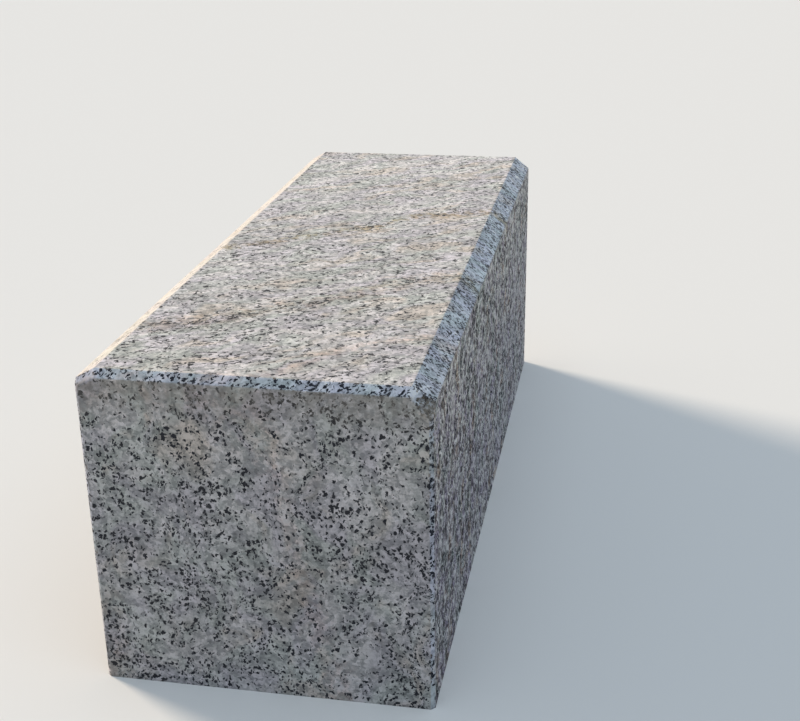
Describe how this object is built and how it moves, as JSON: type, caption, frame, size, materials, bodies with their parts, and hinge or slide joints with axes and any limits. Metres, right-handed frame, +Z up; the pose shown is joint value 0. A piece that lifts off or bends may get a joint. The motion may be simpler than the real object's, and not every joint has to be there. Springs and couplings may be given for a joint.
{
  "type": "granite kerb stone",
  "caption": "Straight sawn granite kerb stone, near square in section, with a bevel along each long top edge and eased ends, that edges a road above a lower footway.",
  "frame": {"origin": "middle of the bed, the flat underside that the stone stands on", "axes": "+Z up out of the bed, +Y along the stone's length and the row of kerbs, +X across to the footway face with the wider and steeper bevel; the road face is at -X"},
  "size_m": [0.35, 0.95, 0.35],
  "materials": {
    "granite": "flamed top, sawn and rubbed bevels, fine-picked faces; pale grey with dark flecks"
  },
  "bodies": {
    "root": {"kerb_stone": "granite"}
  },
  "joints": []
}
